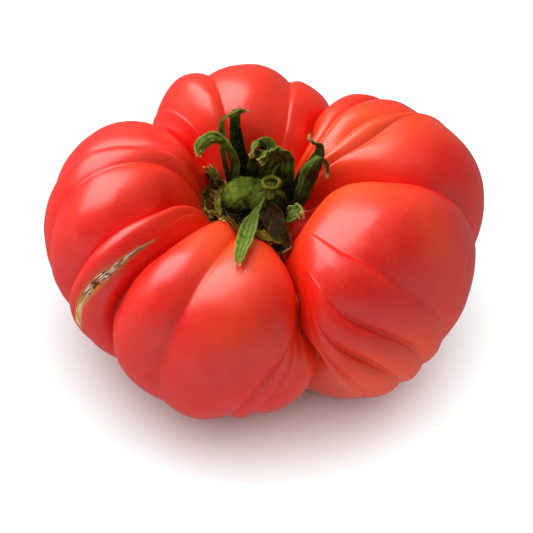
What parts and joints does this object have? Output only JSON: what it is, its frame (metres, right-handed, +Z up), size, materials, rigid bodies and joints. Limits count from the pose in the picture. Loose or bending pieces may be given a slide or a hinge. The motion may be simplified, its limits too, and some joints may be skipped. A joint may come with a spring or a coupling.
{
  "type": "beefsteak tomato",
  "caption": "Large ribbed beefsteak tomato with deep folds, resting on a flat spot, with its green calyx and a hollow stub of stalk in the stem cavity.",
  "frame": {"origin": "middle of the small flat spot under the fruit that it rests on", "axes": "+Z up through the stem cavity, +X to the right and -Y to the front as the picture sees it"},
  "size_m": [0.1146, 0.107, 0.0698],
  "materials": {
    "skin": "glossy waxy fruit skin",
    "green": "dull hairy leaf, dry at the tips"
  },
  "bodies": {
    "root": {"fruit": "skin", "calyx": "green"}
  },
  "joints": []
}
